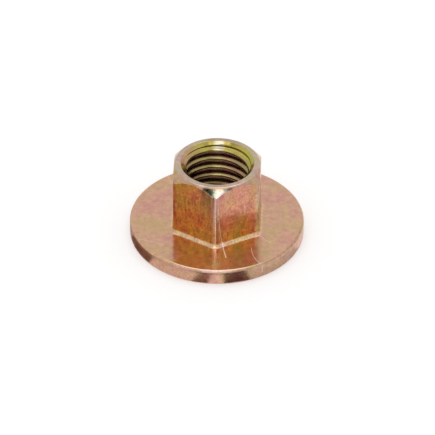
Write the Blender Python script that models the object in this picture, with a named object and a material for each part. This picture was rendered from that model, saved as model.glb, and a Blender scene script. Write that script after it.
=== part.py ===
"""A flange nut: a hexagon on a broad round flange, formed and threaded in one piece.

Metres, +Z up. The nut stands on its bearing face, which lies at Z = 0 round the thread's axis.
A corner of the hexagon points to -Y, so two of its flats face +X and -X.
"""

import math

import bmesh
import bpy
import numpy as np

# Thread: a unified coarse thread, right-handed, 5/8 inch with 11 threads to the inch
THREAD_DIAMETER = 0.015875
PITCH = 0.0254 / 11
THREAD_ANGLE = math.radians(60)
THREAD_START = math.radians(174)  # where the groove crosses the bearing face, from +X
TAP_CLEARANCE = 0.00007  # of the drilled bore past the thread's basic crest

# Hexagon
WALL_OVER_THREAD = 0.0015875  # from the thread's root to a flat
HEX_HEIGHT = 0.01515
CORNER_RADIUS = 0.0011
ROOT_FILLET = 0.00095  # between the hexagon and the flange
CHAMFER_INSET = 0.00033  # from a flat in to the edge of the top face
CHAMFER_DEPTH = 0.0019  # below the top face, at a corner
LIP_SOFTNESS = 0.0002  # how softly the top face rolls over into the chamfer

# Flange
FLANGE_WIDTH = 0.009775  # from a flat out to the rim
FLANGE_THICKNESS = 0.0036
RIM_TOP_RADIUS = 0.0006
RIM_FOOT_RADIUS = 0.00035

# Countersinks, one at each end of the thread
MOUTH_CLEARANCE = 0.00016  # of the mouth past the thread's root
COUNTERSINK_HALF_ANGLE = math.radians(45)

# How finely the round forms are divided
CORNER_STEPS = 4
FLAT_STEPS = 9
ARC_STEPS = 3
TURN_STEPS = 48
CUTTER_OVERLAP = 0.0003  # of the thread cutter into the open bore

# Sizes that follow from those
SIDES = 6
HALF_SIDE = math.pi / SIDES
FLAT_RADIUS = THREAD_DIAMETER / 2 + WALL_OVER_THREAD
CORNER_CENTRE = (FLAT_RADIUS - CORNER_RADIUS) / math.cos(HALF_SIDE)
CORNER_REACH = CORNER_CENTRE + CORNER_RADIUS
FLANGE_RADIUS = FLAT_RADIUS + FLANGE_WIDTH
TOP = FLANGE_THICKNESS + HEX_HEIGHT
TOP_FACE_RADIUS = FLAT_RADIUS - CHAMFER_INSET
CREST_FLAT = PITCH / 4
ROOT_FLAT = PITCH / 8
THREAD_DEPTH = (PITCH - CREST_FLAT - ROOT_FLAT) / 2 / math.tan(THREAD_ANGLE / 2)
BORE_RADIUS = THREAD_DIAMETER / 2 - THREAD_DEPTH + TAP_CLEARANCE
MOUTH_RADIUS = THREAD_DIAMETER / 2 + MOUTH_CLEARANCE
COUNTERSINK_DEPTH = (MOUTH_RADIUS - BORE_RADIUS) / math.tan(COUNTERSINK_HALF_ANGLE)


def clear_scene():
    for old in list(bpy.data.objects):
        bpy.data.objects.remove(old, do_unlink=True)


def plated_steel():
    """Yellow chromate over zinc: a warm metallic coat."""
    material = bpy.data.materials.new("Yellow zinc plate")
    material.use_nodes = True
    shader = material.node_tree.nodes["Principled BSDF"]
    shader.inputs["Base Color"].default_value = (0.62, 0.40, 0.20, 1)
    shader.inputs["Metallic"].default_value = 1
    shader.inputs["Roughness"].default_value = 0.25
    return material


def ring_angles():
    """The angles that every section shares: close together round a corner, wider along a flat."""
    half_corner = math.atan2(CORNER_RADIUS * math.sin(HALF_SIDE),
                             CORNER_CENTRE + CORNER_RADIUS * math.cos(HALF_SIDE))
    corner = np.linspace(-half_corner, half_corner, CORNER_STEPS + 1)
    flat = np.linspace(half_corner, 2 * HALF_SIDE - half_corner, FLAT_STEPS + 1)[1:-1]
    one_side = np.concatenate([corner, flat])
    first = -math.pi / 2
    return np.concatenate([first + 2 * HALF_SIDE * side + one_side for side in range(SIDES)])


def hex_radius(angles, growth=0.0):
    """How far the rounded hexagon, grown outwards all round, reaches at each angle."""
    from_corner = (angles + math.pi / 2 + HALF_SIDE) % (2 * HALF_SIDE) - HALF_SIDE
    radius = CORNER_RADIUS + growth
    arc_end = math.atan2(radius * math.sin(HALF_SIDE), CORNER_CENTRE + radius * math.cos(HALF_SIDE))
    across = CORNER_CENTRE * np.sin(from_corner)
    on_arc = CORNER_CENTRE * np.cos(from_corner) + np.sqrt(np.maximum(radius**2 - across**2, 0))
    on_flat = (FLAT_RADIUS + growth) / np.cos(HALF_SIDE - np.abs(from_corner))
    return np.where(np.abs(from_corner) < arc_end, on_arc, on_flat)


def top_height(radius):
    """Height of the turned top at a radius: the flat face, then a soft lip into a straight chamfer."""
    reach = CORNER_REACH - TOP_FACE_RADIUS
    slope = math.sqrt((CHAMFER_DEPTH + LIP_SOFTNESS) ** 2 - LIP_SOFTNESS**2) / reach
    out = radius - TOP_FACE_RADIUS
    return TOP + LIP_SOFTNESS - np.sqrt((slope * out) ** 2 + LIP_SOFTNESS**2)


def blank_sections(angles):
    """The closed outline of the unthreaded nut as sections (radius, height), from the foot up and back down."""
    turned = np.ones_like(angles)
    quarter = np.linspace(0, math.pi / 2, ARC_STEPS + 1)
    sections = [(BORE_RADIUS * turned, COUNTERSINK_DEPTH), (MOUTH_RADIUS * turned, 0.0)]
    for a in quarter:
        radius = FLANGE_RADIUS - RIM_FOOT_RADIUS * (1 - math.sin(a))
        sections.append((radius * turned, RIM_FOOT_RADIUS * (1 - math.cos(a))))
    for a in quarter:
        radius = FLANGE_RADIUS - RIM_TOP_RADIUS * (1 - math.cos(a))
        sections.append((radius * turned, FLANGE_THICKNESS - RIM_TOP_RADIUS * (1 - math.sin(a))))
    for a in quarter:
        growth = ROOT_FILLET * (1 - math.sin(a))
        sections.append((hex_radius(angles, growth), FLANGE_THICKNESS + ROOT_FILLET * (1 - math.cos(a))))
    for share in np.linspace(1, 0, ARC_STEPS + 1):
        radius = TOP_FACE_RADIUS + share * (hex_radius(angles) - TOP_FACE_RADIUS)
        sections.append((radius, top_height(radius)))
    sections.append((MOUTH_RADIUS * turned, TOP))
    sections.append((BORE_RADIUS * turned, TOP - COUNTERSINK_DEPTH))
    return sections


def mesh_from_grid(name, grid, closed_rows):
    """A solid from rows of points, each row closed on itself. Open ends are capped."""
    rows, columns = grid.shape[:2]
    shell = bmesh.new()
    points = [[shell.verts.new(point) for point in row] for row in grid]
    for row in range(rows if closed_rows else rows - 1):
        above = (row + 1) % rows
        for column in range(columns):
            beside = (column + 1) % columns
            shell.faces.new((points[row][column], points[row][beside],
                             points[above][beside], points[above][column]))
    if not closed_rows:
        shell.faces.new(points[0])
        shell.faces.new(points[-1])
    bmesh.ops.recalc_face_normals(shell, faces=shell.faces)
    bmesh.ops.triangulate(shell, faces=shell.faces)
    mesh = bpy.data.meshes.new(name)
    shell.to_mesh(mesh)
    shell.free()
    return mesh


def nut_blank():
    """The whole nut with a plain bore, lofted through its sections."""
    angles = ring_angles()
    grid = np.array([
        np.stack([radius * np.cos(angles), radius * np.sin(angles), height * np.ones_like(angles)], axis=1)
        for radius, height in blank_sections(angles)
    ])
    blank = bpy.data.objects.new("flange_nut", mesh_from_grid("flange_nut", grid, closed_rows=True))
    bpy.context.collection.objects.link(blank)
    return blank


def thread_cutter():
    """The groove's own shape, carried up the bore from below the bearing face to above the top."""
    depth = THREAD_DEPTH + CUTTER_OVERLAP
    root_radius = THREAD_DIAMETER / 2
    half_root = ROOT_FLAT / 2
    half_mouth = half_root + depth * math.tan(THREAD_ANGLE / 2)
    profile = np.array([(root_radius - depth, -half_mouth), (root_radius, -half_root),
                        (root_radius, half_root), (root_radius - depth, half_mouth)])
    turns = TOP / PITCH + 2
    turn = np.linspace(-1, turns - 1, math.ceil(turns * TURN_STEPS) + 1)
    angles = THREAD_START + 2 * math.pi * turn
    radius = profile[None, :, 0]
    height = profile[None, :, 1] + PITCH * turn[:, None]
    grid = np.stack([radius * np.cos(angles)[:, None], radius * np.sin(angles)[:, None], height], axis=2)
    cutter = bpy.data.objects.new("thread_cutter", mesh_from_grid("thread_cutter", grid, closed_rows=False))
    bpy.context.collection.objects.link(cutter)
    cutter.hide_render = True
    cutter.display_type = "WIRE"
    return cutter


def cut_thread(nut, cutter):
    cut = nut.modifiers.new("Thread", "BOOLEAN")
    cut.operation = "DIFFERENCE"
    cut.solver = "EXACT"
    cut.object = cutter


def build():
    clear_scene()
    nut = nut_blank()
    nut.data.materials.append(plated_steel())
    nut.data.shade_smooth()
    nut.data.set_sharp_from_angle(angle=math.radians(25))
    cut_thread(nut, thread_cutter())


build()
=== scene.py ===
import math

import bmesh
import bpy
import numpy as np
from mathutils import Matrix, Vector


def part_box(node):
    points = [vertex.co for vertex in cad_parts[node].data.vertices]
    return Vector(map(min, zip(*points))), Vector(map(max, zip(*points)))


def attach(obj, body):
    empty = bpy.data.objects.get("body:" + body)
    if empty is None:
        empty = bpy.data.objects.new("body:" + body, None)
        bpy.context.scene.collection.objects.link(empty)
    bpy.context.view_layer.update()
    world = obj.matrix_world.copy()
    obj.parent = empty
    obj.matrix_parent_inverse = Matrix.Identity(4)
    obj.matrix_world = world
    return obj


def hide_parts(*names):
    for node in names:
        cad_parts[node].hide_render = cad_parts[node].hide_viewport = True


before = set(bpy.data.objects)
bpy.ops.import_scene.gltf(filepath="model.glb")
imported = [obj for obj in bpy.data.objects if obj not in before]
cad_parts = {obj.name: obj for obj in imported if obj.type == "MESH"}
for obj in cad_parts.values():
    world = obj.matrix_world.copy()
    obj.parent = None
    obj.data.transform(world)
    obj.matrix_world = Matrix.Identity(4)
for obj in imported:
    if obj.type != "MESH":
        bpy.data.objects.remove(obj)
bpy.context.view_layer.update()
print("frame loaded:", list(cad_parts))

lowCorner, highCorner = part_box("flange_nut")
mm = 0.001

# The nut's sizes in millimetres. Its rim and its top come from the solid.
nutShape = {
    "flangeRadius": highCorner.y / mm,
    "flangeThickness": 3.6,
    "top": highCorner.z / mm,
    "flatRadius": 9.525,
    "cornerRadius": 1.1,
    "rootFillet": 0.95,
    "chamferInset": 0.33,  # from a flat in to the edge of the top face
    "chamferDepth": 1.9,  # below the top face, at a corner
    "lipRound": 0.7,
    "chamferRound": 0.22,
    "rimTopRound": 0.6,
    "rimFootRound": 0.35,
    "mouthRound": 0.25,
    "fullDrop": 0.5,  # of the chamfer's edge, from which its two rounds are full
    "leastLip": 0.35,  # share of each round that is left where the chamfer runs out on a flat
    "leastChamfer": 0.3,
    "threadDiameter": 15.875,
    "pitch": 25.4 / 11,
    "crestFlat": 1 / 4,  # shares of the pitch
    "rootFlat": 1 / 8,
    "flankAngle": 30,
    "threadStart": 174,  # degrees from +X, where the groove crosses the bearing face
    "tapClearance": 0.07,
    "mouthClearance": 0.16,
    "countersinkAngle": 45,
    "crestRound": 0.55,
    "grooveRound": 0.12,
    "coneRound": 0.1,
    "grooveFill": 0.5,  # how much shallower the groove is where it runs out at an end
    "runOut": (0.7, 2.0),  # from an end, where that begins to lessen and where it is over
    "seamDrop": 0.1,  # how far down the countersinks the outer skin meets the bore
    "columnsOnCorner": 10,
    "columnsOnFlat": 36,
    "columnGuard": 0.25,  # degrees from an arc to the next column, so that its shading ends there
    "arcSteps": 6,
    "filletSteps": 8,
    "straightSteps": 11,
    "rowGuard": 0.12,  # from an arc to the next row
    # the bore's rows above the groove's middle, close together where the thread bends
    "threadRows": (0, 0.09, 0.13, 0.17, 0.22, 0.35, 0.5, 0.64, 0.72, 0.77, 0.81, 0.85, 0.9, 1.0),
    "mergeGap": 0.0002,
}

# Sizes that follow from those
halfSide = math.pi / 6
cornerCentre = (nutShape["flatRadius"] - nutShape["cornerRadius"]) / math.cos(halfSide)
flankReach = (1 - nutShape["crestFlat"] - nutShape["rootFlat"]) * nutShape["pitch"] / 2
threadDepth = flankReach / math.tan(math.radians(nutShape["flankAngle"]))
rootRadius = nutShape["threadDiameter"] / 2
crestRadius = rootRadius - threadDepth + nutShape["tapClearance"]
mouthRadius = rootRadius + nutShape["mouthClearance"]
topFaceRadius = nutShape["flatRadius"] - nutShape["chamferInset"]
chamferSlope = nutShape["chamferDepth"] / (cornerCentre + nutShape["cornerRadius"] - topFaceRadius)


def columnAngles():
    # angles round the axis, starting at the corner that points to -Y: close on a corner's arc,
    # wider along a flat, with the first one repeated at the end to close the turn
    reach = nutShape["cornerRadius"] * math.sin(halfSide)
    arcEnd = math.atan2(reach, cornerCentre + nutShape["cornerRadius"] * math.cos(halfSide))
    onCorner = np.linspace(-arcEnd, arcEnd, nutShape["columnsOnCorner"] + 1)
    guard = math.radians(nutShape["columnGuard"])
    onFlat = np.linspace(arcEnd + guard, 2 * halfSide - arcEnd - guard, nutShape["columnsOnFlat"])
    side = np.concatenate([onCorner, onFlat])
    turns = side[None, :] + 2 * halfSide * np.arange(6)[:, None]
    return np.append(turns.ravel(), turns[0, 0] + 2 * math.pi) - math.pi / 2


def angleFromCorner(angle):
    # 0 at a corner and half a side's angle at the middle of a flat, below 0 before the corner
    return (angle + math.pi / 2 + halfSide) % (2 * halfSide) - halfSide


def hexRadius(angle, growth):
    # a rounded hexagon in polar form: on a corner the far crossing with a circle about the corner's
    # centre, on a flat the flat's distance over the cosine of the angle from its middle
    fromCorner = angleFromCorner(angle)
    radius = nutShape["cornerRadius"] + growth
    arcEnd = np.arctan2(radius * math.sin(halfSide), cornerCentre + radius * math.cos(halfSide))
    inside = np.maximum(radius**2 - (cornerCentre * np.sin(fromCorner)) ** 2, 0)
    onArc = cornerCentre * np.cos(fromCorner) + np.sqrt(inside)
    onFlat = (nutShape["flatRadius"] + growth) / np.cos(halfSide - np.abs(fromCorner))
    return np.where(np.abs(fromCorner) < arcEnd, onArc, onFlat)


def softMax(a, b, width):
    # the larger of two values, eased by a parabola where they are closer than width
    near = np.maximum(width - np.abs(a - b), 0) / width
    return np.maximum(a, b) + near**2 * width / 4


def ease(value, low, high):
    # 0 below low and 1 above high, along the curve 3t^2 - 2t^3 between them
    t = np.clip((value - low) / (high - low), 0, 1)
    return t * t * (3 - 2 * t)


def roundedPath(corners, rounds, steps):
    # a path through corners, each an array of (radius, height) per column: every inner corner becomes
    # an arc tangent to both of its sides, start + round * (sin(t) * ahead + (1 - cos(t)) * inwards)
    rows = [corners[0]]
    for before, corner, after, roundness in zip(corners, corners[1:], corners[2:], rounds):
        ahead = corner - before
        ahead = ahead / np.linalg.norm(ahead, axis=1, keepdims=True)
        leaving = after - corner
        leaving = leaving / np.linalg.norm(leaving, axis=1, keepdims=True)
        turn = np.arccos(np.clip((ahead * leaving).sum(axis=1, keepdims=True), -1, 1))
        inwards = (leaving - ahead * np.cos(turn)) / np.sin(turn)
        start = corner - ahead * roundness * np.tan(turn / 2)
        gap = start - rows[-1]  # the straight before the arc, with rows from close to one end to the other
        length = np.linalg.norm(gap, axis=1, keepdims=True)
        guard = np.minimum(nutShape["rowGuard"], length / 3)
        unit = gap / length
        rows += [rows[-1] + unit * guard + share * (gap - 2 * unit * guard)
                 for share in np.linspace(0, 1, nutShape["straightSteps"])]
        for share in np.linspace(0, 1, steps + 1):
            t = turn * share
            rows.append(start + roundness * (np.sin(t) * ahead + (1 - np.cos(t)) * inwards))
    gap = corners[-1] - rows[-1]
    return rows + [rows[-1] + gap / 2, corners[-1]]


def outerSkin(angle):
    # the outside as one path per column: from the upper countersink over the top face, the chamfer,
    # the hexagon's side and its root fillet, then out over the flange and back under it. The fillet is
    # a quarter circle, growing the hexagon by fillet * (1 - cos(t)) as it falls by fillet * sin(t).
    side = hexRadius(angle, 0)
    seam = nutShape["seamDrop"]

    def at(radius, height):
        return np.stack(np.broadcast_arrays(radius, height, angle)[:2], axis=1).astype(float)

    drop = chamferSlope * (side - topFaceRadius)
    down = [at(mouthRadius - seam, nutShape["top"] - seam), at(mouthRadius, nutShape["top"]),
            at(topFaceRadius, nutShape["top"]), at(side, nutShape["top"] - drop),
            at(side, nutShape["flangeThickness"] + nutShape["rootFillet"])]
    full = np.minimum(1, drop[:, None] / nutShape["fullDrop"])
    lip = nutShape["lipRound"] * (nutShape["leastLip"] + (1 - nutShape["leastLip"]) * full)
    edge = nutShape["chamferRound"] * (nutShape["leastChamfer"] + (1 - nutShape["leastChamfer"]) * full)
    rows = roundedPath(down, [nutShape["mouthRound"], lip, edge], nutShape["arcSteps"])
    for t in np.linspace(0, math.pi / 2, nutShape["filletSteps"] + 1)[1:]:
        growth = nutShape["rootFillet"] * (1 - math.cos(t))
        height = nutShape["flangeThickness"] + nutShape["rootFillet"] * (1 - math.sin(t))
        rows.append(at(hexRadius(angle, growth), height))
    foot = hexRadius(angle, nutShape["rootFillet"])
    out = [at(foot, nutShape["flangeThickness"]), at(nutShape["flangeRadius"], nutShape["flangeThickness"]),
           at(nutShape["flangeRadius"], 0), at(mouthRadius, 0), at(mouthRadius - seam, seam)]
    rounds = [nutShape["rimTopRound"], nutShape["rimFootRound"], nutShape["mouthRound"]]
    return np.array(rows + roundedPath(out, rounds, nutShape["arcSteps"])[1:])


def threadTurns(angle):
    # how many turns an angle lies from the groove's start
    return (angle - math.radians(nutShape["threadStart"])) / (2 * math.pi)


def boreRadius(angle, height):
    # the bore as a height field about the axis: the groove's flank rises with the distance along the
    # axis from the groove's middle, held between root and crest, and a cone opens each end, where the
    # groove runs out
    along = height / nutShape["pitch"] - threadTurns(angle)
    fromGroove = np.abs(along - np.round(along)) * nutShape["pitch"]
    slope = math.tan(math.radians(nutShape["flankAngle"]))
    flank = rootRadius - (fromGroove - nutShape["rootFlat"] * nutShape["pitch"] / 2) / slope
    fromEnd = np.minimum(height, nutShape["top"] - height)
    root = rootRadius - nutShape["grooveFill"] * (1 - ease(fromEnd, *nutShape["runOut"]))
    groove = -softMax(-flank, -root, nutShape["grooveRound"])
    thread = softMax(groove, crestRadius, nutShape["crestRound"])
    cone = mouthRadius - fromEnd / math.tan(math.radians(nutShape["countersinkAngle"]))
    return softMax(thread, cone, nutShape["coneRound"])


def boreSkin(angle):
    # rows that climb with the thread, one pitch a turn, held between the two ends of the bore: where
    # a row runs past an end its points fall together there, and merging them closes the edge
    above = np.array(nutShape["threadRows"])
    offsets = np.concatenate([-above[::-1], above[1:], [nutShape["pitch"] / 2]])  # from the groove's middle
    turns = threadTurns(angle)
    first = math.floor(-turns.max()) - 1
    last = math.ceil(nutShape["top"] / nutShape["pitch"] - turns.min()) + 1
    climb = (offsets[None, :] + nutShape["pitch"] * np.arange(first, last)[:, None]).ravel()
    seam = nutShape["seamDrop"]
    height = np.clip(climb[:, None] + nutShape["pitch"] * turns[None, :], seam, nutShape["top"] - seam)
    return np.stack([boreRadius(angle[None, :], height), height], axis=2)


def gridFaces(rows, columns, first):
    # the quads between each two rows and columns of a grid whose points start at index first
    row, column = np.meshgrid(np.arange(rows - 1), np.arange(columns - 1), indexing="ij")
    corner = first + (row * columns + column).ravel()
    return np.stack([corner, corner + 1, corner + columns + 1, corner + columns], axis=1)


# The plate, place by place: the metal's colour at full light, then how much of each mark it carries.
# drift is how far the film's colour wanders, upright the streaks up a flat, turned the rings round the
# axis, and rough the small scribbled dents of the rim.
plateZones = {
    "thread": {"tint": (0.42, 0.32, 0.15), "drift": 0.6, "turned": 0.5},
    "threadCrest": {"tint": (0.34, 0.22, 0.12), "drift": 0.6, "turned": 0.5},
    "threadRoot": {"tint": (0.34, 0.18, 0.15), "drift": 0.6, "turned": 0.5},
    "cone": {"tint": (0.55, 0.45, 0.115), "drift": 0.5, "turned": 1.0},
    "conePink": {"tint": (0.56, 0.35, 0.20), "drift": 0.5, "turned": 1.6},
    # painted highlight: a paler, whiter colour at the back of the cone, where the front lamp's highlight
    # falls
    "conePaintedHighlight": {"tint": (0.72, 0.66, 0.46), "drift": 0.4, "turned": 1.2},
    "side": {"tint": (0.70, 0.32, 0.10), "drift": 1.0, "upright": 1.0},
    # painted reflection: the right face's upper part paler and pinker, as where it mirrors the bright floor
    # to its right
    "sideRosePaintedReflection": {"tint": (0.57, 0.26, 0.175), "drift": 0.4, "upright": 0.6},
    "sideEdge": {"tint": (0.52, 0.29, 0.20), "drift": 0.4, "upright": 0.5},  # the corner at the right
    # painted highlight: a pale line down the lower part of the right corner, into the fillet
    "sideEdgeLowPaintedHighlight": {"tint": (0.70, 0.62, 0.33), "drift": 0.4, "upright": 0.5},
    # painted highlight: a pinkish light band down the front corner, nearly white low down towards the
    # fillet
    "corner": {"tint": (0.62, 0.33, 0.28), "drift": 0.4, "upright": 0.4},
    "cornerLowPaintedHighlight": {"tint": (0.98, 0.66, 0.50), "drift": 0.3, "upright": 0.4},
    "chamfer": {"tint": (0.62, 0.39, 0.27), "drift": 0.5, "turned": 0.5},
    # painted highlight colour: a paler, whiter tint at the chamfer's front tip, where its highlight falls
    "chamferTipPaintedHighlight": {"tint": (0.66, 0.63, 0.52), "drift": 0.5, "turned": 0.6},
    "topFace": {"tint": (0.63, 0.48, 0.38), "drift": 0.45, "turned": 0.8},
    "fillet": {"tint": (0.77, 0.51, 0.30), "drift": 0.35, "upright": 0.6, "rough": 0.6},
    "flange": {"tint": (0.71, 0.43, 0.29), "drift": 0.42, "turned": 0.1},
    "flangeFront": {"tint": (0.66, 0.46, 0.305), "drift": 0.42, "turned": 0.1},
    "rim": {"tint": (0.72, 0.42, 0.31), "drift": 0.45, "rough": 1.0},
    # painted highlight on the rim's top edge at the front
    "rimLipPaintedHighlight": {"tint": (0.72, 0.49, 0.42), "drift": 0.3, "rough": 1.0},
    # painted shade: the rim's top edge darker at the right, over the pink highlight it would catch there
    "rimRightPaintedShade": {"tint": (0.56, 0.37, 0.22), "drift": 0.4, "rough": 1.0},
}

# Where one zone gives way to another: the distances, in millimetres, between which the share of the one
# goes over to the other. The name says what they are measured from.
zoneEdges = {
    "threadFromTop": (1.5, 2.3),
    "pastCrest": (0.02, 0.1),
    "rootPastCrest": (0.45, 0.8),
    "offCone": (0.05, 0.15),
    "pastMouth": (-0.05, 0.05),
    "roseHeight": (6, 13),
    "fromRightCorner": (0.5, 1.0),
    "rightCornerHeight": (9, 12),
    "fromCorner": (0.4, 0.8),
    "cornerHeight": (7, 11),
    "lowFromCorner": (0.2, 0.45),
    "lowCornerHeight": (8.5, 12),
    "pastChamferEdge": (-0.12, 0.12),
    "tipFromTop": (0.25, 0.6),
    "topFaceFromTop": (0.05, 0.3),
    "filletPastFlange": (0.65, 0.95),
    "pastFlangeTop": (0.02, 0.2),
    "frontHalfWidth": (6, 9),
    "frontFromAxis": (9, 11),
    "pastRim": (-0.35, -0.1),
    "lipPastFlangeTop": (-0.6, -0.35),
    "lipPastRim": (-0.55, -0.4),
}

# The azimuth that a zone faces, in degrees from -Y towards +X, then the cosines of the angle from it
# where its share begins and where it is full
zoneFacing = {
    "rose": (50, 0.1, 0.8),
    "rightCorner": (60, 0.9, 0.98),
    "frontCorner": (0, 0.8, 0.95),
    "chamferTipPaintedHighlight": (0, 0.9, 0.97),
    "conePink": (-107.2, 0.75, 0.98),
    "conePaintedHighlight": (180, 0.98, 0.998),
    "rimLipPaintedHighlight": (1.5, 0.976, 0.988),
    "rimRightPaintedShade": (58, 0.78, 0.9),
}

# Painted shade and painted highlights: dark patches laid where the chamfer, the front corner, the faces,
# the rim and flange, the top face, the cone and the deep bore fall dark in their reflections and shade, and
# bright ones where they catch light. Each gives the middle in millimetres, how far it spreads across and
# up, and the share of the colour that is lost, below 0 for a painted highlight. Painted shade browns what
# it darkens: the hue below is how much of each colour it takes.
paintedShadeHue = (0.94, 1.0, 1.03)
paintedShadeAndHighlights = [
    # painted dark reflections on the chamfer's front, either side of its highlight
    ((-1.8, -9.5, 18.15), 0.85, 0.5, 1.0),
    ((-2.5, -9.3, 18.25), 0.4, 0.4, 0.9),
    ((-1.15, -10.0, 17.75), 0.4, 0.4, 0.85),
    ((-0.9, -10.2, 17.5), 0.4, 0.35, 0.7),
    ((-0.35, -10.75, 16.95), 0.25, 0.25, 0.8),
    ((-0.5, -9.9, 17.95), 0.18, 0.2, 0.6),
    ((1.4, -10.1, 17.5), 0.4, 0.4, 0.25),
    ((2.1, -9.4, 18.25), 0.5, 0.3, 0.35),
    ((2.9, -9.1, 18.3), 0.4, 0.25, 0.3),
    # painted shade and painted highlights down the front corner and over the faces beside it, with a
    # painted glint at the fillet's foot
    ((1.1, -10.3, 13.6), 0.6, 2.2, 0.3),
    ((-0.75, -10.6, 14.0), 0.35, 3.5, -0.3),
    ((-1.9, -9.9, 13.8), 0.8, 3.0, -0.4),
    ((8.2, -6.9, 14.3), 2.2, 2.6, 0.25),
    ((-9.3, -5.8, 11.0), 0.7, 7.0, 0.3),
    ((1.7, -10.0, 7.5), 0.9, 3.6, -0.35),
    ((-0.8, -10.6, 6.5), 0.25, 2.4, 0.4),
    ((5.0, -8.1, 6.5), 3.0, 2.6, -0.3),
    ((5.0, -8.1, 9.2), 3.4, 1.8, -0.3),
    ((0.1, -11.3, 4.0), 0.35, 0.4, -0.4),
    # painted dark reflections on the rim's front, and painted shade and a painted bright band on the flange
    # before it
    ((0.3, -19.3, 2.9), 4.2, 0.25, 0.4),
    ((5.9, -18.4, 3.2), 2.2, 0.25, 0.4),
    ((-3.6, -19.0, 3.1), 1.6, 0.35, 0.3),
    ((0.6, -17.6, 3.6), 4.2, 0.5, -0.28),
    ((-1.2, -14.0, 3.6), 1.0, 0.4, 0.25),
    ((-1.4, -15.9, 3.6), 1.0, 0.4, 0.25),
    ((4.6, -13.8, 3.6), 2.6, 0.4, 0.12),
    ((0.0, -8.6, 18.75), 3.0, 0.4, 0.14),
    ((0.0, 8.8, 18.75), 4.5, 0.4, 0.10),
    # painted shade over the cone's back and deep in the bore
    ((-0.4, 7.3, 7.9), 3.6, 0.6, 0.72),
    ((-1.3, 8.0, 18.4), 0.9, 0.5, 0.45),
    ((1.7, 7.9, 18.4), 0.6, 0.5, 0.3),
    ((3.1, 7.4, 18.4), 0.9, 0.5, 0.35),
    ((-0.4, 7.3, 9.4), 3.6, 0.5, 0.5),
    ((-7.0, 2.4, 13.2), 1.8, 2.2, 0.35),
    ((-4.4, 6.0, 9.2), 1.6, 2.0, 0.6),
]

# Patches where the film is thinner (below 0) or thicker: the middle in millimetres, how far it spreads
# across and up, and by how much it shifts the film's colour.
filmPatches = [
    ((-9.3, -5.6, 10.0), 0.5, 9.0, -0.28),
    ((-7.2, -6.9, 15.8), 1.3, 2.6, 0.16),
    ((-3.6, -8.9, 13.0), 1.5, 3.0, -0.10),
    ((-6.8, -7.1, 9.0), 1.6, 3.5, 0.10),
    ((-1.7, -10.0, 10.0), 0.8, 6.0, 0.14),
    ((8.0, -7.4, 17.6), 1.1, 1.0, 0.30),
    ((-0.9, -10.0, 17.75), 0.9, 0.6, 0.38),
    ((1.4, -10.1, 17.5), 0.4, 0.4, -0.3),
    ((1.7, -10.0, 6.5), 0.8, 2.6, 0.12),
    ((0.9, -10.6, 17.0), 0.6, 0.5, -0.16),
    ((7.2, -6.8, 12.5), 1.0, 3.0, -0.14),
    ((5.0, -8.1, 6.0), 2.8, 2.2, 0.18),
    ((5.0, -8.1, 9.5), 3.0, 2.2, 0.12),
    ((2.6, -9.5, 13.5), 1.4, 2.0, -0.10),
    ((3.0, -9.3, 16.0), 2.2, 1.6, -0.14),
    ((7.6, -6.6, 16.0), 1.2, 1.5, -0.12),
    ((0.4, -16.6, 3.6), 1.0, 1.0, 0.22),
    ((0.0, -17.8, 3.6), 3.4, 1.0, 0.16),
    ((4.6, -13.6, 3.6), 3.0, 1.0, 0.10),
    ((-4.2, -13.6, 3.6), 2.6, 1.0, 0.05),
    ((-13.8, -9.8, 3.6), 2.0, 1.0, -0.10),
    ((-15.2, -4.0, 3.6), 2.8, 1.0, 0.14),
    ((-9.5, -12.0, 3.6), 2.6, 1.0, 0.12),
    ((-13.1, 8.0, 3.6), 4.0, 1.0, -0.16),
    ((13.5, 8.5, 3.6), 3.6, 1.0, -0.18),
    ((12.6, -4.2, 3.6), 2.6, 1.0, 0.12),
    ((12.8, 3.0, 3.6), 1.6, 1.0, 0.12),
    ((15.6, -7.6, 3.6), 2.6, 1.0, -0.04),
    ((-6.4, 5.2, 17.6), 1.8, 1.5, 0.20),
]


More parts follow.
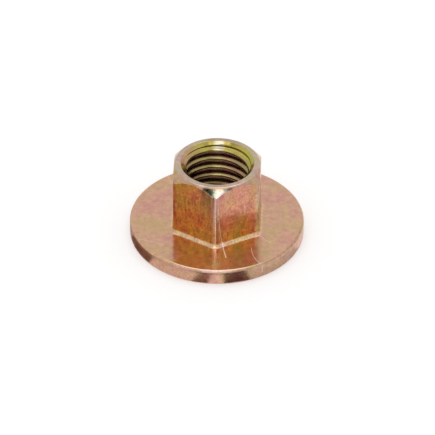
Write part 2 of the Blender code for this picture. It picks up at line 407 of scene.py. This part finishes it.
def zoneShares(x, y, height):
    # each zone's share of every vertex, from its radius, height and angle, in the order of laying: a
    # product of eased distances and of eased cosines of the angle from where the zone faces
    radius, angle = np.hypot(x, y), np.arctan2(y, x)
    side = hexRadius(angle, 0)
    fromCorner = np.abs(angleFromCorner(angle)) * nutShape["flatRadius"]
    fromTop = nutShape["top"] - height
    fromEnd = np.minimum(height, fromTop)
    flangeTop, rimRadius = nutShape["flangeThickness"], nutShape["flangeRadius"]

    def past(distance, name):
        return ease(distance, *zoneEdges[name])

    def facing(name):
        azimuth, low, high = zoneFacing[name]
        return ease(np.cos(angle + math.pi / 2 - math.radians(azimuth)), low, high)

    threaded = past(fromTop, "threadFromTop")
    outside = past(radius - mouthRadius, "pastMouth")
    onCone = 1 - past(np.abs(radius - (mouthRadius - fromEnd)), "offCone")
    onCone = np.maximum(onCone, (1 - threaded) * (1 - outside))
    rightCorner = outside * facing("rightCorner") * (1 - past(fromCorner, "fromRightCorner"))
    frontCorner = outside * facing("frontCorner")
    chamfered = outside * past(height - (nutShape["top"] - chamferSlope * (side - topFaceRadius)),
                               "pastChamferEdge")
    onFlange = outside * (1 - past(height - flangeTop, "pastFlangeTop"))
    onLip = past(height - flangeTop, "lipPastFlangeTop") * past(radius - rimRadius, "lipPastRim")
    return [
        ("threadCrest", threaded * (1 - past(radius - crestRadius, "pastCrest"))),
        ("threadRoot", threaded * past(radius - crestRadius, "rootPastCrest")),
        ("cone", onCone),
        ("conePink", onCone * facing("conePink")),
        ("conePaintedHighlight", onCone * facing("conePaintedHighlight")),
        ("side", outside),
        ("sideRosePaintedReflection", outside * facing("rose") * past(height, "roseHeight")),
        ("sideEdge", rightCorner),
        ("sideEdgeLowPaintedHighlight", rightCorner * (1 - past(height, "rightCornerHeight"))),
        ("corner", frontCorner * (1 - past(fromCorner, "fromCorner")) * past(height, "cornerHeight")),
        ("cornerLowPaintedHighlight", frontCorner * (1 - past(fromCorner, "lowFromCorner"))
         * (1 - past(height, "lowCornerHeight"))),
        ("chamfer", chamfered),
        ("chamferTipPaintedHighlight", chamfered * past(fromTop, "tipFromTop") * facing("chamferTipPaintedHighlight")),
        ("topFace", outside * (1 - past(fromTop, "topFaceFromTop"))),
        ("fillet", outside * (1 - past(height - flangeTop, "filletPastFlange"))),
        ("flange", onFlange),
        ("flangeFront", onFlange * (1 - past(np.abs(x), "frontHalfWidth")) * past(-y, "frontFromAxis")),
        ("rim", outside * past(radius - rimRadius, "pastRim")),
        ("rimLipPaintedHighlight", onLip * facing("rimLipPaintedHighlight")),
        ("rimRightPaintedShade", onLip * facing("rimRightPaintedShade")),
    ]


def paintPlate(mesh):
    # one colour and one set of marks a vertex: each zone is laid over the last as far as its share says.
    # A patch falls off as e to the minus square of the distance.
    place = np.empty(len(mesh.vertices) * 3)
    mesh.vertices.foreach_get("co", place)
    x, y, height = place.reshape(-1, 3).T / mm
    names = ("drift", "upright", "turned", "rough")
    table = {name: np.array([*zone["tint"], *(zone.get(mark, 0) for mark in names)])
             for name, zone in plateZones.items()}
    mixed = np.tile(table["thread"], (len(x), 1))
    for name, share in zoneShares(x, y, height):
        mixed += (table[name] - mixed) * share[:, None]

    def patch(middle, across, up):
        away = ((x - middle[0]) ** 2 + (y - middle[1]) ** 2) / across**2 + ((height - middle[2]) / up) ** 2
        return np.exp(-away)

    film = np.zeros(len(x))
    for middle, across, up, shift in filmPatches:
        film += shift * patch(middle, across, up)
    # darkening by the painted shade, brightening by the painted highlights
    for middle, across, up, lost in paintedShadeAndHighlights:
        mixed[:, :3] *= 1 - lost * patch(middle, across, up)[:, None] * np.array(paintedShadeHue)
    mixed = np.column_stack([np.minimum(mixed, 1), film])
    for name, columns in (("plateTint", (0, 1, 2, 3)), ("plateMarks", (4, 5, 6, 7))):
        paint = mesh.attributes.new(name, "FLOAT_COLOR", "POINT")
        paint.data.foreach_set("color", mixed[:, columns].ravel())


def addObject(name, data):
    item = bpy.data.objects.new(name, data)
    bpy.context.collection.objects.link(item)
    return item


def makeNut():
    # both skins as points (radius * cos, radius * sin, height) of the columns' angles, then merged where
    # they meet into one closed mesh
    angle = columnAngles()
    skins = [outerSkin(angle), boreSkin(angle)]
    points, faces, count = [], [], 0
    for skin in skins:
        radius, height = skin[..., 0], skin[..., 1]
        place = np.stack([radius * np.cos(angle), radius * np.sin(angle), height], axis=2)
        points.append(place.reshape(-1, 3) * mm)
        faces.append(gridFaces(*skin.shape[:2], count))
        count += len(points[-1])
    mesh = bpy.data.meshes.new("nutBody")
    mesh.from_pydata(np.concatenate(points).tolist(), [], np.concatenate(faces).tolist())
    whole = bmesh.new()
    whole.from_mesh(mesh)
    gap = nutShape["mergeGap"] * mm
    bmesh.ops.remove_doubles(whole, verts=whole.verts, dist=gap)
    bmesh.ops.dissolve_degenerate(whole, edges=whole.edges, dist=gap)
    bmesh.ops.recalc_face_normals(whole, faces=whole.faces)
    print("open edges:", sum(not edge.is_manifold for edge in whole.edges))
    whole.to_mesh(mesh)
    whole.free()
    mesh.shade_smooth()
    paintPlate(mesh)
    print("nut made:", len(mesh.polygons), "faces")
    return addObject("nutBody", mesh)


# The finish of the plate. Sizes are in millimetres across one mark, depths in millimetres, and film and
# tone say how far a mark moves the film's colour or its tone. A pit's radius and chance are shares of
# a cell.
plateLook = {
    "roughness": (0.13, 0.25),
    "roughMore": 0.14,  # added where the rough mark is full
    "cloud": {"size": 4.5, "film": 1.2},  # slow drifts of the film's colour
    "mottle": {"size": 1.3, "film": 0.45, "tone": 0.45},
    "blotch": {"size": 1.0, "film": 0.45, "tone": 1.2},
    "speckle": {"size": 0.42, "tone": 1.7},
    "streak": {"size": 0.42, "film": 0.3, "tone": 0.9, "depth": 0.010},
    "turn": {"size": 0.14, "tone": 0.5, "depth": 0.004},
    "scribble": {"size": 0.26, "tone": 1.0, "depth": 0.080},
    "grain": {"size": 0.14, "tone": 0.22, "depth": 0.003},
    "dent": {"size": 1.7, "depth": 0.034},
    "pit": {"size": 1.7, "radius": 0.08, "chance": 0.45, "tone": -0.35, "depth": -0.012},
    "speckleLeast": 0.2,  # share of the speckle that is left away from the flats
    "filmMiddle": 0.5,
    "scratchAndGlintColour": (1.0, 0.91, 0.78),
    "scratchDull": 0.85,
    "scratchDepth": 0.008,
    # fine scratches, and one painted glint, each a sheet bent to a circle in the plane of two axes: those
    # axes, the circle's centre and radius, half the mark's width, the middle of the part that shows and how
    # far that part reaches each way
    "scratchesAndGlint": [
        ("xz", (60.75, 14.1), 60.0, 0.06, (1.1, -10.4, 7.9), (0.6, 0.6, 3.6)),
        ("xy", (58.3, -0.2), 57.5, 0.17, (2.1, -12.3, 3.7), (0.8, 2.1, 0.6)),
        # not a scratch: a painted glint, a short bright spot at the foot of the front corner's fillet
        ("xy", (58.3, -0.2), 57.5, 0.28, (1.65, -10.4, 4.1), (0.6, 0.35, 0.5)),
        ("xy", (16.2, -10.6), 8.17, 0.065, (9.0, -13.4, 3.6), (1.2, 2.9, 0.5)),
        ("xy", (14.5, -4.0), 5.1, 0.06, (10.8, -6.5, 3.6), (1.6, 2.1, 0.4)),
        ("xy", (44.1, 5.6), 40.0, 0.09, (10.5, -16.2, 2.2), (0.6, 0.6, 0.9)),
        ("xy", (-31.0, 4.0), 22.0, 0.04, (-9.6, 10.2, 3.6), (2.5, 5.0, 0.5)),
        ("xy", (-20.0, -30.0), 21.5, 0.04, (-14.0, -9.4, 3.6), (3.0, 1.0, 0.5)),
        ("xy", (41.0, 4.0), 36.5, 0.04, (6.2, -7.5, 12.4), (1.0, 1.2, 1.4)),
    ],
    "filmColours": [  # what the film does to its zone's own colour, thin to thick
        (0.15, (1.00, 0.60, 1.10)),
        (0.36, (1.04, 0.84, 0.98)),
        (0.50, (1.00, 1.00, 1.00)),
        (0.62, (0.96, 1.10, 0.72)),
        (0.75, (0.76, 1.06, 0.60)),
        (0.90, (0.60, 0.98, 0.80)),
    ],
}


seedShift = (1, 0.7, 1.3)  # how far a noise moves along each axis for one step of its seed


class NodeBench:
    # makes and links nodes in one material
    def __init__(self, material):
        material.use_nodes = True
        self.nodes, self.links = material.node_tree.nodes, material.node_tree.links
        self.shader = self.nodes["Principled BSDF"]
        self.place = self.add("TexCoord").outputs["Object"]

    def add(self, kind, settings=None, inputs=None):
        node = self.nodes.new("ShaderNode" + kind)
        for name, value in (settings or {}).items():
            setattr(node, name, value)
        for name, value in (inputs or {}).items():
            if isinstance(value, bpy.types.NodeSocket):
                self.links.new(value, node.inputs[name])
            else:
                node.inputs[name].default_value = value
        return node

    def noise(self, size, stretch=(1, 1, 1), detail=3, roughness=0.5, seed=0):
        # a noise whose marks are size millimetres across, drawn out along an axis by its stretch, and
        # moved by its seed
        scale = [1 / (mm * size * s) for s in stretch]
        mapped = self.add("Mapping", inputs={"Vector": self.place, "Scale": scale,
                                             "Location": [seed * step for step in seedShift]})
        made = self.add("TexNoise", inputs={"Vector": mapped.outputs["Vector"], "Scale": 1,
                                            "Detail": detail, "Roughness": roughness})
        return self.centred(made.outputs["Fac"])

    def ringNoise(self, size, sweep, detail=2, seed=0):
        # a noise of the radius and the height, size millimetres from ring to ring, that changes slowly
        # round the axis: sweep is the number of changes in about a sixth of a turn
        x, y, z = self.add("SeparateXYZ", inputs={"Vector": self.place}).outputs
        radius = self.math("POWER", self.math("MULTIPLY_ADD", x, x, self.math("MULTIPLY", y, y)), 0.5)
        around = [self.math("MULTIPLY", self.math("DIVIDE", part, radius), sweep) for part in (x, y)]
        up = self.math("MULTIPLY", z, 1 / (mm * size))
        spot = self.add("CombineXYZ", inputs={0: around[0], 1: around[1], 2: up}).outputs[0]
        out = self.math("MULTIPLY_ADD", radius, 1 / (mm * size), seed)
        made = self.add("TexNoise", {"noise_dimensions": "4D"}, {"Vector": spot, "W": out, "Scale": 1,
                                                                  "Detail": detail})
        return self.centred(made.outputs["Fac"])

    def scratch(self, axes, centre, radius, width, middle, reach):
        # 1 on a sheet bent to a circle, falling to 0 at its width, within a box
        spot = dict(zip("xyz", self.add("SeparateXYZ", inputs={"Vector": self.place}).outputs))
        aside = self.math("SUBTRACT", spot[axes[0]], centre[0] * mm)
        ahead = self.math("SUBTRACT", spot[axes[1]], centre[1] * mm)
        away = self.math("MULTIPLY_ADD", aside, aside, self.math("MULTIPLY", ahead, ahead))
        away = self.math("ABSOLUTE", self.math("SUBTRACT", self.math("SQRT", away), radius * mm))
        share = self.math("SUBTRACT", 1, self.math("DIVIDE", away, width * mm))
        share = self.math("MAXIMUM", share, 0)
        for part, half, along in zip(middle, reach, spot.values()):
            share = self.math("MULTIPLY", share, self.math("COMPARE", along, part * mm, half * mm))
        return share

    def centred(self, value):
        # a noise's value about 0
        return self.math("SUBTRACT", value, 0.5)

    def math(self, operation, a, b=0.0, c=0.0):
        return self.add("Math", {"operation": operation}, {0: a, 1: b, 2: c}).outputs[0]

    def ramp(self, value, stops):
        # a colour for each value, mixed evenly between the stops
        node = self.add("ValToRGB", inputs={"Fac": value})
        elements = node.color_ramp.elements
        while len(elements) < len(stops):
            elements.new(0.5)
        for element, (position, colour) in zip(elements, stops):
            element.position = position
            element.color = (*colour, 1)
        return node.outputs["Color"]


def markValues(bench, upright, turned, rough):
    # every mark as a value about 0, times the zone's share of it where it keeps to some of the zones. A
    # pit is 1 inside a small ball in some cells of a grid and 0 elsewhere.
    look = plateLook
    values = {
        "cloud": bench.noise(look["cloud"]["size"], detail=4, roughness=0.55, seed=3),
        "mottle": bench.noise(look["mottle"]["size"], detail=3, roughness=0.5, seed=8),
        "blotch": bench.noise(look["blotch"]["size"], stretch=(1, 1, 1.6), detail=3, roughness=0.6,
                              seed=14),
        "speckle": bench.noise(look["speckle"]["size"], detail=3, roughness=0.6, seed=11),
        "streak": bench.noise(look["streak"]["size"], stretch=(1, 1, 5), detail=4, roughness=0.6, seed=5),
        "turn": bench.ringNoise(look["turn"]["size"], sweep=2, seed=2),
        "scribble": bench.ringNoise(look["scribble"]["size"], sweep=50, seed=4),
        "grain": bench.noise(look["grain"]["size"], detail=2, seed=1),
        "dent": bench.noise(look["dent"]["size"], detail=1, seed=6),
    }
    speckled = bench.math("MULTIPLY_ADD", upright, 1 - look["speckleLeast"], look["speckleLeast"])
    shares = {"speckle": speckled, "blotch": upright, "streak": upright, "turn": turned, "scribble": rough}
    for name, share in shares.items():
        values[name] = bench.math("MULTIPLY", values[name], share)
    pit = look["pit"]
    spots = bench.add("TexVoronoi", inputs={"Vector": bench.place, "Scale": 1 / (mm * pit["size"])}).outputs
    draw = bench.add("SeparateColor", inputs={"Color": spots["Color"]}).outputs[0]
    chosen = bench.math("GREATER_THAN", draw, 1 - pit["chance"])
    inPit = bench.math("LESS_THAN", spots["Distance"], pit["radius"])
    values["pit"] = bench.math("MULTIPLY", inPit, chosen)
    return values


def makePlate():
    # the zone's painted colour times the film's colour and the marks' tone, laid under the scratches and
    # the painted glint
    look = plateLook
    material = bpy.data.materials.new("yellowZincPlate")
    bench = NodeBench(material)
    shader = bench.shader
    painted = bench.add("Attribute", {"attribute_name": "plateTint"}).outputs
    marks = bench.add("Attribute", {"attribute_name": "plateMarks"}).outputs
    upright, turned, rough = bench.add("SeparateColor", inputs={"Color": marks["Color"]}).outputs
    values = markValues(bench, upright, turned, rough)
    film, tone, relief = bench.math("ADD", marks["Alpha"], look["filmMiddle"]), 1.0, 0.0
    for name, value in values.items():
        mark = look[name]
        if "film" in mark:
            film = bench.math("MULTIPLY_ADD", value, mark["film"], film)
        if "tone" in mark:
            tone = bench.math("MULTIPLY_ADD", value, mark["tone"], tone)
        if "depth" in mark:
            relief = bench.math("MULTIPLY_ADD", value, mark["depth"] * mm, relief)
    shift = bench.ramp(film, look["filmColours"])
    shift = bench.add("Mix", {"data_type": "RGBA"},
                      {"Factor": painted["Alpha"], "A": (1, 1, 1, 1), "B": shift})
    coloured = bench.add("Mix", {"data_type": "RGBA", "blend_type": "MULTIPLY"},
                         {"Factor": 1.0, "A": painted["Color"], "B": shift.outputs["Result"]})
    toned = bench.add("VectorMath", {"operation": "SCALE"}, {0: coloured.outputs["Result"], "Scale": tone})
    scratchAndGlintShare = 0.0
    for scratch in look["scratchesAndGlint"]:
        scratchAndGlintShare = bench.math("MAXIMUM", scratchAndGlintShare, bench.scratch(*scratch))
    bared = bench.add("Mix", {"data_type": "RGBA"},
                      {"Factor": scratchAndGlintShare, "A": toned.outputs["Vector"], "B": (*look["scratchAndGlintColour"], 1)})
    bench.links.new(bared.outputs["Result"], shader.inputs["Base Color"])
    relief = bench.math("MULTIPLY_ADD", scratchAndGlintShare, -look["scratchDepth"] * mm, relief)
    metallic = bench.math("MULTIPLY_ADD", scratchAndGlintShare, -look["scratchDull"], 1.0)
    bench.links.new(metallic, shader.inputs["Metallic"])
    low, high = look["roughness"]
    roughness = bench.math("MULTIPLY_ADD", values["mottle"], (high - low) * 2, (low + high) / 2)
    roughness = bench.math("MULTIPLY_ADD", rough, look["roughMore"], roughness)
    bench.links.new(roughness, shader.inputs["Roughness"])
    bump = bench.add("Bump", inputs={"Height": relief, "Strength": 1, "Distance": 1})
    bench.links.new(bump.outputs["Normal"], shader.inputs["Normal"])
    print("plate made:", len(bench.nodes), "nodes")
    return material


# The studio. A light or card stands at an azimuth from the camera's side and a height angle, both in
# degrees, as seen from the nut; its width and height are in degrees too.
studio = {
    "floorTone": 0.72,
    "floorGlow": 0.37,
    "floorRoughness": 0.9,
    "cardRoughness": 0.8,
    "surround": 0.78,
    "distance": 0.6,
    "aimHeight": 0.01,
    "floorSide": 4,
    "floorDrop": 0.02 * mm,  # below the bearing face, with the cards on the floor half as far down
    "cardDrop": 0.01 * mm,
    "cardColumns": 25,
    "lights": {
        "frontBox": {"azimuth": -5, "rise": 55, "wide": 48, "tall": 15, "level": 1.0},
        "chamferBox": {"azimuth": 7, "rise": 42, "wide": 16, "tall": 10, "level": 1.2},
        "overhead": {"azimuth": 180, "rise": 78, "wide": 40, "tall": 30, "level": 0.9},
    },
    "cards": {
        "leftTopFlag": {"azimuth": -18, "rise": 42.5, "wide": 20, "tall": 10, "tone": 0.01},
        "rightFlag": {"azimuth": 34, "rise": 34, "wide": 18, "tall": 22, "tone": 0.3},
    },
    # Paper on the floor round the nut, seen only in the metal: from and to are azimuths, near and far
    # are millimetres from the axis, and slant is how many degrees on the far edge lies.
    "floorCards": {
        "leftPaper": {"from": -130, "to": -34, "near": 23, "far": 48, "tone": (0.60, 0.46, 0.36)},
        "leftEdgePaper": {"from": -34, "to": -13, "near": 23, "far": 48, "tone": (0.80, 0.72, 0.72)},
        "rightEdgePaper": {"from": 18, "to": 33, "near": 26.5, "far": 48, "tone": (0.52, 0.48, 0.50)},
        "rimPaperBackLeft": {"from": -110, "to": -80, "near": 19.5, "far": 23, "tone": 0.55},
        "rimPaperFarLeft": {"from": -80, "to": -50, "near": 19.5, "far": 23, "tone": (0.16, 0.07, 0.04)},
        "rimPaperLeft": {"from": -50, "to": -15, "near": 19.5, "far": 23, "tone": 0.95},
        "rimPaperNearLeft": {"from": -15, "to": -4, "slant": 5, "near": 19.5, "far": 25,
                             "tone": (0.20, 0.11, 0.06)},
        "rimPaperRight": {"from": 7.2, "to": 25, "near": 19.5, "far": 26.5, "tone": (0.08, 0.015, 0.0)},
        "rimPaperFarRight": {"from": 25, "to": 72, "near": 19.5, "far": 23, "tone": (0.72, 0.80, 0.74)},
    },
}


def placeTowardsNut(item, place):
    # on a sphere about the nut, facing its middle
    azimuth, rise = math.radians(place["azimuth"]), math.radians(place["rise"])
    out = Vector((math.sin(azimuth) * math.cos(rise), -math.cos(azimuth) * math.cos(rise), math.sin(rise)))
    item.location = out * studio["distance"] + Vector((0, 0, studio["aimHeight"]))
    item.rotation_euler = out.to_track_quat("Z", "Y").to_euler()


def spread(place):
    # what an angle takes in at the studio's distance: twice the distance times the tangent of its half
    span = 2 * studio["distance"]
    return [span * math.tan(math.radians(place[side]) / 2) for side in ("wide", "tall")]


def flatMaterial(name, tone):
    # a dull card, its tone one grey or a colour
    material = bpy.data.materials.new(name)
    material.use_nodes = True
    shader = material.node_tree.nodes["Principled BSDF"]
    colour = tone if isinstance(tone, tuple) else (tone, tone, tone)
    shader.inputs["Base Color"].default_value = (*colour, 1)
    shader.inputs["Roughness"].default_value = studio["cardRoughness"]
    return material


def paperMaterial():
    # white paper that the camera and the metal see a little brighter than its light makes it
    material = bpy.data.materials.new("floorPaper")
    bench = NodeBench(material)
    tone = studio["floorTone"]
    bench.shader.inputs["Base Color"].default_value = (tone, tone, tone, 1)
    bench.shader.inputs["Roughness"].default_value = studio["floorRoughness"]
    bench.shader.inputs["Specular IOR Level"].default_value = 0
    path = bench.add("LightPath").outputs
    seen = bench.math("MAXIMUM", path["Is Camera Ray"], path["Is Glossy Ray"])
    seen = bench.math("MAXIMUM", seen, path["Is Transmission Ray"])
    bench.shader.inputs["Emission Color"].default_value = (1, 1, 1, 1)
    glow = bench.math("MULTIPLY", seen, studio["floorGlow"])
    bench.links.new(glow, bench.shader.inputs["Emission Strength"])
    return material


def flatPanel(name, width, depth, material):
    # a rectangle about the origin, facing +Z
    mesh = bpy.data.meshes.new(name)
    corners = [(x * width / 2, y * depth / 2, 0) for x, y in ((-1, -1), (1, -1), (1, 1), (-1, 1))]
    mesh.from_pydata(corners, [], [(0, 1, 2, 3)])
    mesh.materials.append(material)
    panel = addObject(name, mesh)
    return panel


def layFloorCard(name, place):
    # part of a flat ring about the axis: azimuth by radius on a grid, as (radius * sin, -radius * cos)
    columns = studio["cardColumns"]
    azimuth, radius = np.meshgrid(np.radians(np.linspace(place["from"], place["to"], columns)),
                                  np.array([place["near"], place["far"]]) * mm)
    azimuth[1] += math.radians(place.get("slant", 0))
    height = np.full(azimuth.shape, lowCorner.z - studio["cardDrop"])
    points = np.stack([radius * np.sin(azimuth), -radius * np.cos(azimuth), height], axis=2)
    mesh = bpy.data.meshes.new(name)
    mesh.from_pydata(points.reshape(-1, 3).tolist(), [], gridFaces(2, columns, 0).tolist())
    mesh.materials.append(flatMaterial(name, place["tone"]))
    card = addObject(name, mesh)
    card.visible_camera = card.visible_diffuse = card.visible_shadow = False


def makeWorld():
    # a plain level on everything, and white where the camera sees it
    world = bpy.data.worlds.new("studio")
    world.use_nodes = True
    nodes, links = world.node_tree.nodes, world.node_tree.links
    background = nodes["Background"]
    path = nodes.new("ShaderNodeLightPath")
    level = nodes.new("ShaderNodeMix")
    level.data_type = "FLOAT"
    level.inputs["A"].default_value = studio["surround"]
    level.inputs["B"].default_value = 1
    links.new(path.outputs["Is Camera Ray"], level.inputs["Factor"])
    links.new(level.outputs["Result"], background.inputs["Strength"])
    background.inputs["Color"].default_value = (1, 1, 1, 1)
    bpy.context.scene.world = world


def makeStudio():
    floor = flatPanel("floor", studio["floorSide"], studio["floorSide"], paperMaterial())
    floor.location.z = lowCorner.z - studio["floorDrop"]
    for name, place in studio["lights"].items():
        light = bpy.data.lights.new(name, "AREA")
        light.shape = "RECTANGLE"
        light.size, light.size_y = spread(place)
        light.energy = place["level"] * math.pi * light.size * light.size_y  # its face glows at the level
        lamp = addObject(name, light)
        placeTowardsNut(lamp, place)
        lamp.visible_camera = False
    for name, place in studio["cards"].items():
        card = flatPanel(name, *spread(place), flatMaterial(name, place["tone"]))
        placeTowardsNut(card, place)
        card.visible_camera = False
    for name, place in studio["floorCards"].items():
        layFloorCard(name, place)
    makeWorld()
    print("studio made")


# The camera stands far off with a long lens, as the photo's does
cameraSetup = {
    "azimuth": 2.1,
    "rise": 37.6,
    "roll": -0.42,
    "distance": 0.7,
    "sensorWidth": 36,
    "clip": (0.05, 20),
    "pixelsAcross": 435,
    "pixelsPerMillimetre": 4.527,  # at the nut
    "aimHeight": 0.009,
    "moveRight": 0.00012,
    "moveUp": -0.00433,
}


def makeCamera():
    # the lens is the sensor's width times the distance over the width taken in at the nut, and the camera
    # looks at the nut's axis from its azimuth and rise, moved a little across the picture
    setup = cameraSetup
    frameWidth = setup["pixelsAcross"] / setup["pixelsPerMillimetre"] * mm
    data = bpy.data.cameras.new("camera")
    data.sensor_width = setup["sensorWidth"]
    data.lens = setup["sensorWidth"] * setup["distance"] / frameWidth
    data.clip_start, data.clip_end = setup["clip"]
    azimuth, rise = math.radians(setup["azimuth"]), math.radians(setup["rise"])
    back = Vector((math.sin(azimuth) * math.cos(rise), -math.cos(azimuth) * math.cos(rise), math.sin(rise)))
    right = Vector((math.cos(azimuth), math.sin(azimuth), 0))
    up = back.cross(right)
    aim = Vector((0, 0, setup["aimHeight"])) + right * setup["moveRight"] + up * setup["moveUp"]
    camera = addObject("camera", data)
    turned = Matrix((right, up, back)).transposed().to_4x4()
    camera.matrix_world = Matrix.Translation(aim + back * setup["distance"]) @ turned \
        @ Matrix.Rotation(math.radians(-setup["roll"]), 4, "Z")
    bpy.context.scene.camera = camera
    print("camera made")


nutBody = makeNut()
nutBody.data.materials.append(makePlate())
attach(nutBody, "root")
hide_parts("flange_nut")
makeStudio()
makeCamera()
bpy.context.scene.view_settings.view_transform = "Standard"
